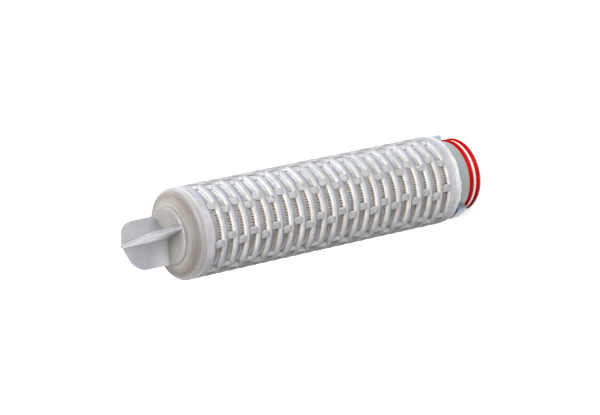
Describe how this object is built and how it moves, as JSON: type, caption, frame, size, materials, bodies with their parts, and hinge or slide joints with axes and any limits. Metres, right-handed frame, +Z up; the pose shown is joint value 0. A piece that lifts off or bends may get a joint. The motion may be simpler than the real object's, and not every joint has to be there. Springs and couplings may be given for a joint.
{
  "type": "glass fiber filter cartridge",
  "caption": "Cylindrical pleated glass fiber filter cartridge with a slotted outer cage, a vaned guide fin at one end and a sealing piston with locking lugs at the other.",
  "frame": {"origin": "centre of the sealing adapter's end face, which the cartridge stands on", "axes": "+Z up the cartridge's axis from the adapter to the fin; -Y is the side that faces the viewer of the picture"},
  "size_m": [0.069, 0.069, 0.3158],
  "materials": {
    "cage": "moulded natural polypropylene, satin",
    "support_fleece": "thin spunbonded fleece",
    "glass_fiber": "pleated glass fibre sheet",
    "core": "moulded natural polypropylene",
    "end_cap": "moulded natural polypropylene, melted at its rim",
    "fin": "moulded natural polypropylene",
    "adapter": "moulded natural polypropylene over a metal sleeve",
    "steel_sleeve": "plain stainless sleeve",
    "seal": "red silicone"
  },
  "bodies": {
    "root": {"outer_cage": "cage", "upstream_support": "support_fleece", "glass_fiber_media": "glass_fiber", "downstream_support": "support_fleece", "inner_core": "core", "fin_end_cap": "end_cap", "fin": "fin", "open_end_cap": "end_cap", "bayonet_adapter": "adapter", "support_ring": "steel_sleeve", "lower_o_ring": "seal", "upper_o_ring": "seal"}
  },
  "joints": []
}
